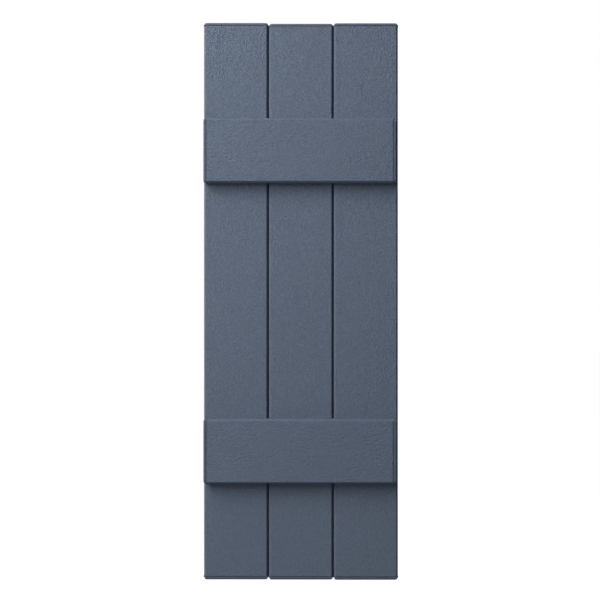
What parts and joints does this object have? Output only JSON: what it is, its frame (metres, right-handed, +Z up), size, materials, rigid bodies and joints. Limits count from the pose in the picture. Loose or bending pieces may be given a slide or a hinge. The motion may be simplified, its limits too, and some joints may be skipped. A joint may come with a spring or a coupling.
{
  "type": "board and batten shutter",
  "caption": "Flat wall shutter of upright capped planks joined edge to edge, with shorter capped planks across the front as battens and an embossed woodgrain finish.",
  "frame": {"origin": "middle of the flat back of the centre board, half way up the shutter", "axes": "+Z up along the boards, -Y out of the front towards a person facing the wall, +X to that person's right"},
  "size_m": [0.2748, 0.038, 0.787],
  "materials": {
    "woodgrain_plastic": "matte slate blue-grey with embossed woodgrain",
    "cap_plastic": "smooth matte slate blue-grey"
  },
  "bodies": {
    "root": {"left_board": "woodgrain_plastic", "centre_board": "woodgrain_plastic", "right_board": "woodgrain_plastic", "left_board_top_cap": "cap_plastic", "left_board_bottom_cap": "cap_plastic", "centre_board_top_cap": "cap_plastic", "centre_board_bottom_cap": "cap_plastic", "right_board_top_cap": "cap_plastic", "right_board_bottom_cap": "cap_plastic", "upper_batten": "woodgrain_plastic", "upper_batten_left_cap": "cap_plastic", "upper_batten_right_cap": "cap_plastic", "lower_batten": "woodgrain_plastic", "lower_batten_left_cap": "cap_plastic", "lower_batten_right_cap": "cap_plastic"}
  },
  "joints": []
}
